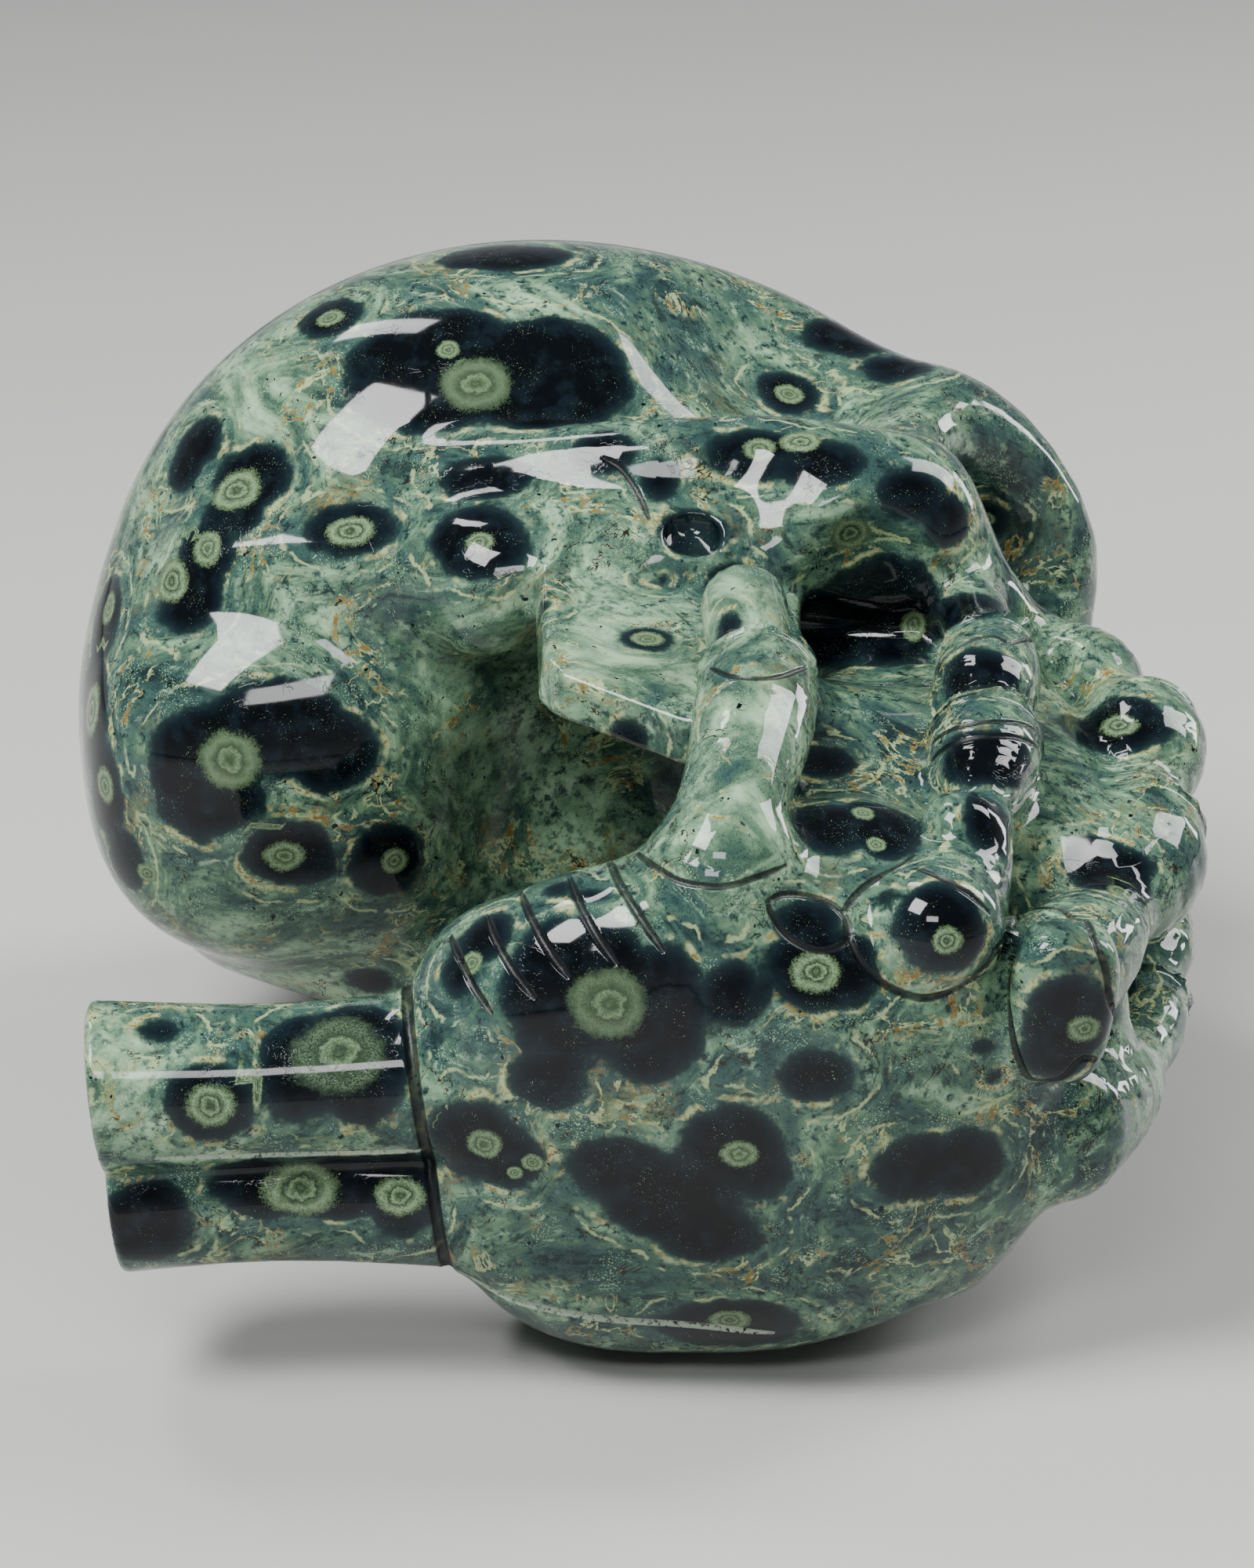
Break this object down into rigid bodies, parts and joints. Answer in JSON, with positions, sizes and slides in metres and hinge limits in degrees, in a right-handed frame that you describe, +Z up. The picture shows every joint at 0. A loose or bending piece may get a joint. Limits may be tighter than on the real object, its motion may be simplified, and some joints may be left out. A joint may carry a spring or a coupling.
{
  "type": "stone skull carving",
  "caption": "Polished kambaba jasper carving of a human skull lying on its side, its jaw cupped by a bony hand that ends in a cut-off stub of forearm.",
  "frame": {"origin": "on the ground, at the flat on the skull's left temple where the head rests", "axes": "+X from the back of the head to the face, +Y from the hand to the crown, +Z up, towards the skull's right side; the skull's own up and side axes are rolled 9.5 degrees about X"},
  "size_m": [0.1354, 0.1676, 0.1065],
  "materials": {
    "kambaba_jasper": "mirror-polished stone, dark orbs in mottled green"
  },
  "bodies": {
    "root": {"skull_carving": "kambaba_jasper"}
  },
  "joints": []
}
